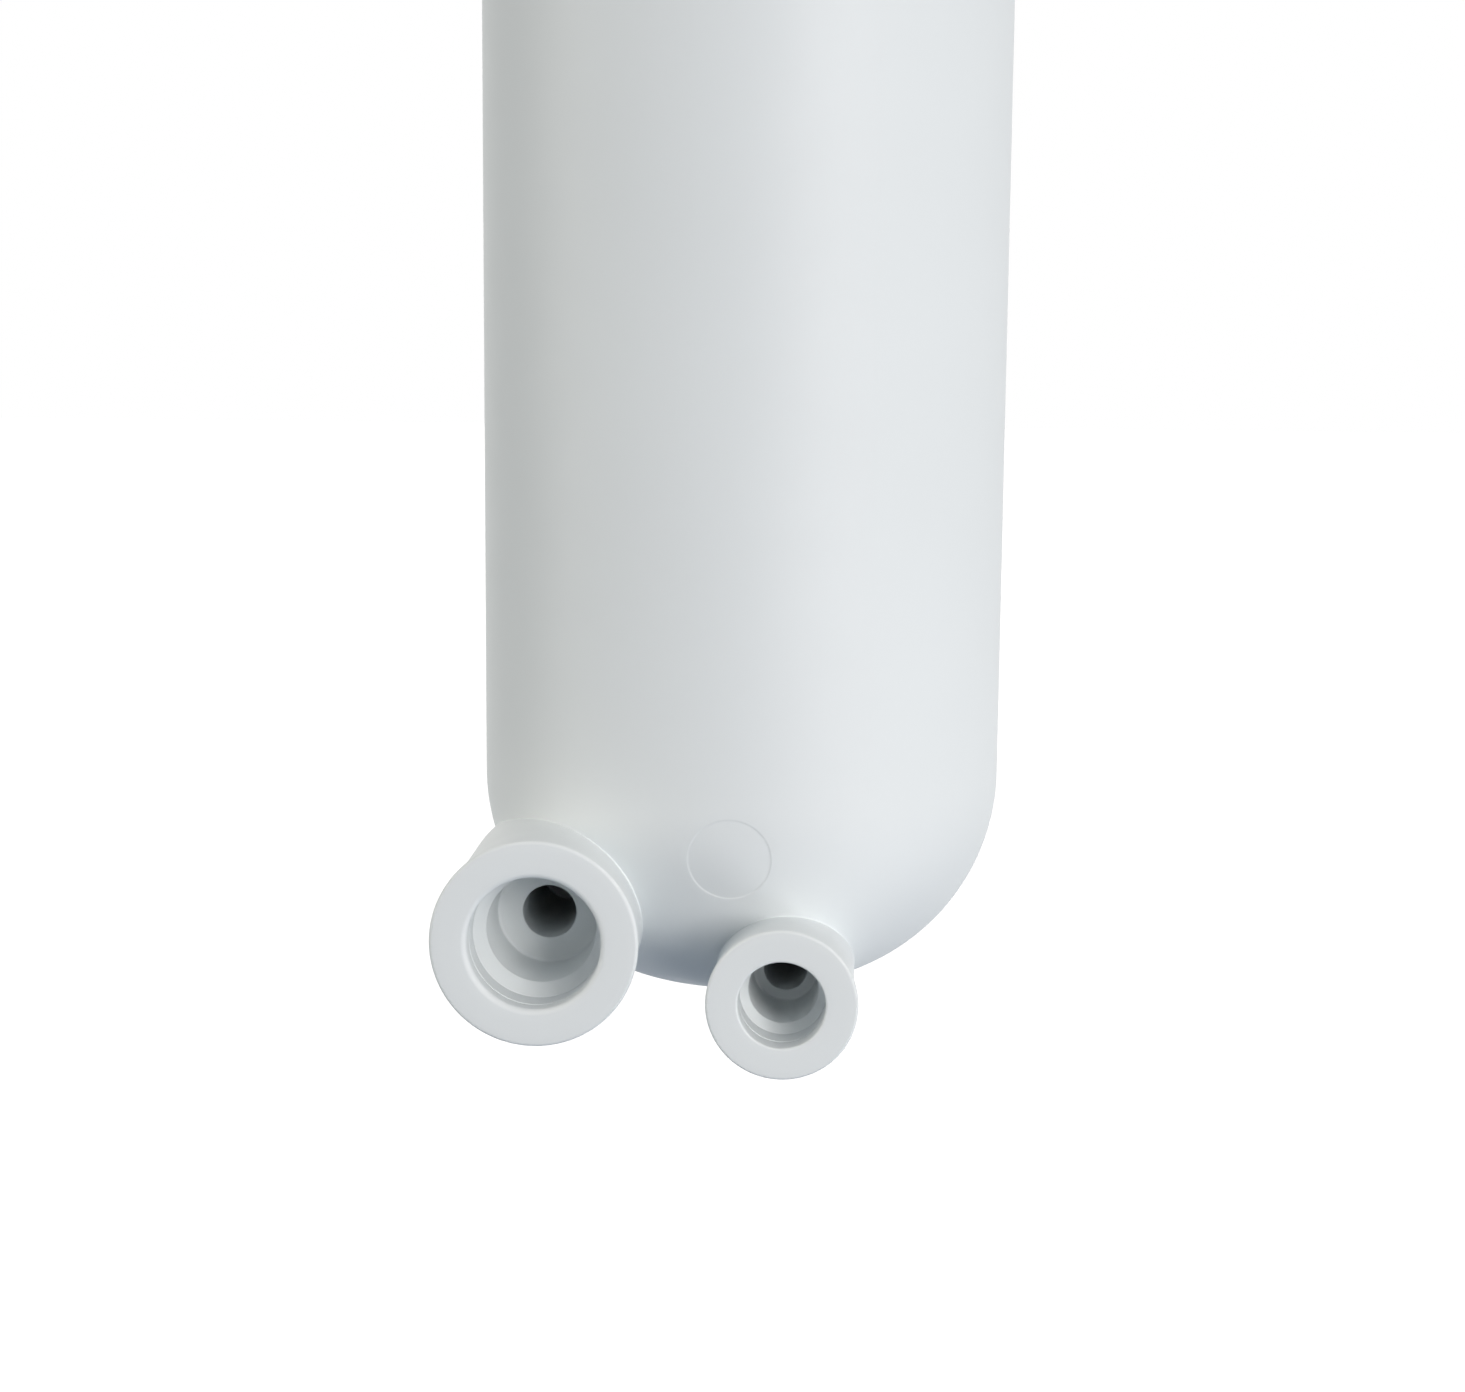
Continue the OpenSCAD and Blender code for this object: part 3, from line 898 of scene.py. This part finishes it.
# screw thread on the neck and in the skirt, a right-hand helix that clears its mate
coupling = frame["record"]["behaviour"]["couplings"][0]
thread = {
    "pitch": coupling["ratio"] * 2 * math.pi / mm,
    "turns": 3.0,
    "low": 250.0,
    "foot": 2.6,           # width at its foot
    "crest": 1.2,
    "depth": 1.8,
    "bury": 0.4,           # how far the foot sits in the wall
    "perTurn": 120.0,
    "runOut": 0.06,        # share of the length that fades at each end
    "tip": 0.02,           # scale of the section at its very ends
}


def threadTree():
    # side is 1 for a thread that stands outward and -1 for one that stands inward
    numbers = ("Radius", "Height", "Turns", "Per Turn", "Low", "Foot", "Crest", "Depth", "Side",
               "Run Out", "Tip")
    tree, given = startTree("screwThread", numbers)
    helix = addNode(tree, "GeometryNodeCurveSpiral")
    setInput(tree, helix, "Resolution", given["Per Turn"])
    setInput(tree, helix, "Rotations", given["Turns"])
    setInput(tree, helix, "Start Radius", given["Radius"])
    setInput(tree, helix, "End Radius", given["Radius"])
    setInput(tree, helix, "Height", given["Height"])
    upright = addNode(tree, "GeometryNodeSetCurveNormal", mode="Z_UP")
    setInput(tree, upright, 0, helix.outputs[0])
    section = addNode(tree, "GeometryNodeCurvePrimitiveQuadrilateral", mode="TRAPEZOID")
    setInput(tree, section, "Bottom Width", given["Foot"])
    setInput(tree, section, "Top Width", given["Crest"])
    setInput(tree, section, "Height", given["Depth"])
    setInput(tree, section, "Offset", 0.0)
    rise = calc(tree, "MULTIPLY", calc(tree, "MULTIPLY", given["Depth"], -0.5), given["Side"])
    tilt = calc(tree, "MULTIPLY", given["Side"], math.pi / 2)
    stand = addNode(tree, "GeometryNodeTransform")
    setInput(tree, stand, "Geometry", section.outputs[0])
    setInput(tree, stand, "Translation", joinPlace(tree, x=rise))
    setInput(tree, stand, "Rotation", joinPlace(tree, z=tilt))
    along = addNode(tree, "GeometryNodeSplineParameter").outputs["Factor"]
    nearEnd = calc(tree, "MINIMUM", along, calc(tree, "SUBTRACT", 1.0, along))
    size = calc(tree, "MINIMUM", calc(tree, "DIVIDE", nearEnd, given["Run Out"]), 1.0)
    sweep = addNode(tree, "GeometryNodeCurveToMesh")
    setInput(tree, sweep, "Curve", upright.outputs[0])
    setInput(tree, sweep, "Profile Curve", stand.outputs[0])
    setInput(tree, sweep, "Scale", calc(tree, "MAXIMUM", size, given["Tip"]))
    setInput(tree, sweep, "Fill Caps", True)
    shift = addNode(tree, "GeometryNodeTransform")
    setInput(tree, shift, "Geometry", sweep.outputs[0])
    setInput(tree, shift, "Translation", joinPlace(tree, z=given["Low"]))
    endTree(tree, given, shift.outputs[0])
    return tree


def makeThread(name, tree, t, wallR, side, low, body, slot):
    obj = bpy.data.objects.new(name, bpy.data.meshes.new(name))
    bpy.context.scene.collection.objects.link(obj)
    runTree(obj, tree, {
        "Radius": (wallR - side * t["bury"]) * mm, "Height": t["pitch"] * t["turns"] * mm,
        "Turns": t["turns"], "Per Turn": t["perTurn"], "Low": low * mm, "Foot": t["foot"] * mm,
        "Crest": t["crest"] * mm, "Depth": (t["depth"] + t["bury"]) * mm, "Side": float(side),
        "Run Out": t["runOut"], "Tip": t["tip"], "Material": materials[slot]})
    rideOn(obj, body, slot)
    radii = [math.hypot(v.co.x, v.co.y) / mm for v in obj.data.vertices]
    heights = [v.co.z / mm for v in obj.data.vertices]
    print(name, len(obj.data.polygons), "faces, radius", round(min(radii), 2), round(max(radii), 2),
          "height", round(min(heights), 2), round(max(heights), 2))


threads = threadTree()
capThreadLow = thread["low"] + thread["pitch"] / 2   # half a turn off, between the neck's turns
makeThread("neckThread", threads, thread, shell["neck"], 1, thread["low"], "vessel", "white_plastic")
makeThread("capThread", threads, thread, cap["skirt"][0], -1, capThreadLow, "cap", "cap_plastic")
print("cap and threads made")

# stage: pale floor far below the held vessel, white to the camera
stage = {
    "floorDrop": 510.0,    # mm below the part
    "floorSize": 24.0,     # metres
    "floorGlow": 0.85,
    "floorSeen": (0.50, 0.50, 0.50),
    "floorUnseen": (0.07, 0.115, 0.18),   # what the floor sends back up to the part
}


def rayIsSeen(tree):
    # 1 for camera, glossy and transmission rays
    path = addNode(tree, "ShaderNodeLightPath")
    seen = calc(tree, "MAXIMUM", path.outputs["Is Camera Ray"], path.outputs["Is Glossy Ray"])
    return calc(tree, "MAXIMUM", seen, path.outputs["Is Transmission Ray"])


def floorMaterial(s):
    material = bpy.data.materials.new("paleFloor")
    material.use_nodes = True
    tree = material.node_tree
    tree.nodes.remove(tree.nodes["Principled BSDF"])
    glow = addNode(tree, "ShaderNodeEmission")
    setInput(tree, glow, "Strength", s["floorGlow"])
    pale = addNode(tree, "ShaderNodeBsdfDiffuse")
    setInput(tree, pale, "Color", shade(s["floorSeen"]))
    both = addNode(tree, "ShaderNodeAddShader")
    setInput(tree, both, 0, glow.outputs[0])
    setInput(tree, both, 1, pale.outputs[0])
    dim = addNode(tree, "ShaderNodeBsdfDiffuse")
    setInput(tree, dim, "Color", shade(s["floorUnseen"]))
    mix = addNode(tree, "ShaderNodeMixShader")
    setInput(tree, mix, 0, rayIsSeen(tree))
    setInput(tree, mix, 1, dim.outputs[0])
    setInput(tree, mix, 2, both.outputs[0])
    setInput(tree, tree.nodes["Material Output"], "Surface", mix.outputs[0])
    return material


def makeFloor(s):
    z = cadBox[0].z - s["floorDrop"] * mm
    half = s["floorSize"] / 2
    corners = [(x * half, y * half, z) for x, y in ((-1, -1), (1, -1), (1, 1), (-1, 1))]
    mesh = bpy.data.meshes.new("floor")
    mesh.from_pydata(corners, [], [(0, 1, 2, 3)])
    mesh.materials.append(floorMaterial(s))
    obj = bpy.data.objects.new("floor", mesh)
    bpy.context.scene.collection.objects.link(obj)


# soft light: a wide lamp from the front right, a weaker one from the left, a small one from below
# on the right, and a pale room that is brighter behind and above
roomLight = {
    "behind": (1.0, 0.98, 0.94),
    "front": (0.06, 0.06, 0.065),
    "above": (0.72, 0.71, 0.70),
    "strength": 1.0,
}
lamps = {
    # bearing from the photograph's side towards +X and height, degrees; distance and size, metres
    "keyLamp": {"bearing": 35, "height": 12, "distance": 2.1, "size": (0.9, 1.2), "power": 29.5,
                "colour": (1.0, 0.962, 0.935)},
    "leftLamp": {"bearing": -78, "height": 8, "distance": 2.1, "size": (0.8, 1.2), "power": 14.5,
                 "colour": (1.0, 0.948, 0.833)},
    "rightLamp": {"bearing": 72, "height": -31, "distance": 0.8, "size": (0.45, 0.25), "power": 1.4,
                  "colour": (1.0, 0.985, 0.975)},
}


def makeRoom(r):
    world = bpy.data.worlds.new("room")
    bpy.context.scene.world = world
    world.use_nodes = True
    tree = world.node_tree
    place = addNode(tree, "ShaderNodeTexCoord").outputs["Generated"]
    y, z = splitPlace(tree, place)[1:]
    colour = layer(tree, spread(tree, y, 0.0, 1.0), shade(r["front"]), shade(r["behind"]))
    colour = layer(tree, spread(tree, z, 0.0, 1.0), colour, shade(r["above"]))
    back = tree.nodes["Background"]
    setInput(tree, back, "Color", layer(tree, rayIsSeen(tree), colour, (1, 1, 1, 1)))
    setInput(tree, back, "Strength", r["strength"])


def makeLamp(name, lamp):
    data = bpy.data.lights.new(name, "AREA")
    data.shape = "RECTANGLE"
    data.size, data.size_y = lamp["size"]
    data.energy = lamp["power"]
    data.color = lamp["colour"]
    bearing, height = math.radians(lamp["bearing"]), math.radians(lamp["height"])
    level = math.cos(height)
    aim = Vector((math.sin(bearing) * level, -math.cos(bearing) * level, math.sin(height)))
    obj = bpy.data.objects.new(name, data)
    obj.location = aim * lamp["distance"]
    obj.rotation_euler = (-aim).to_track_quat("-Z", "Y").to_euler()
    bpy.context.scene.collection.objects.link(obj)


makeFloor(stage)
makeRoom(roomLight)
for lampName, lamp in lamps.items():
    makeLamp(lampName, lamp)
bpy.context.scene.view_settings.view_transform = "Standard"
print("stage and light set")
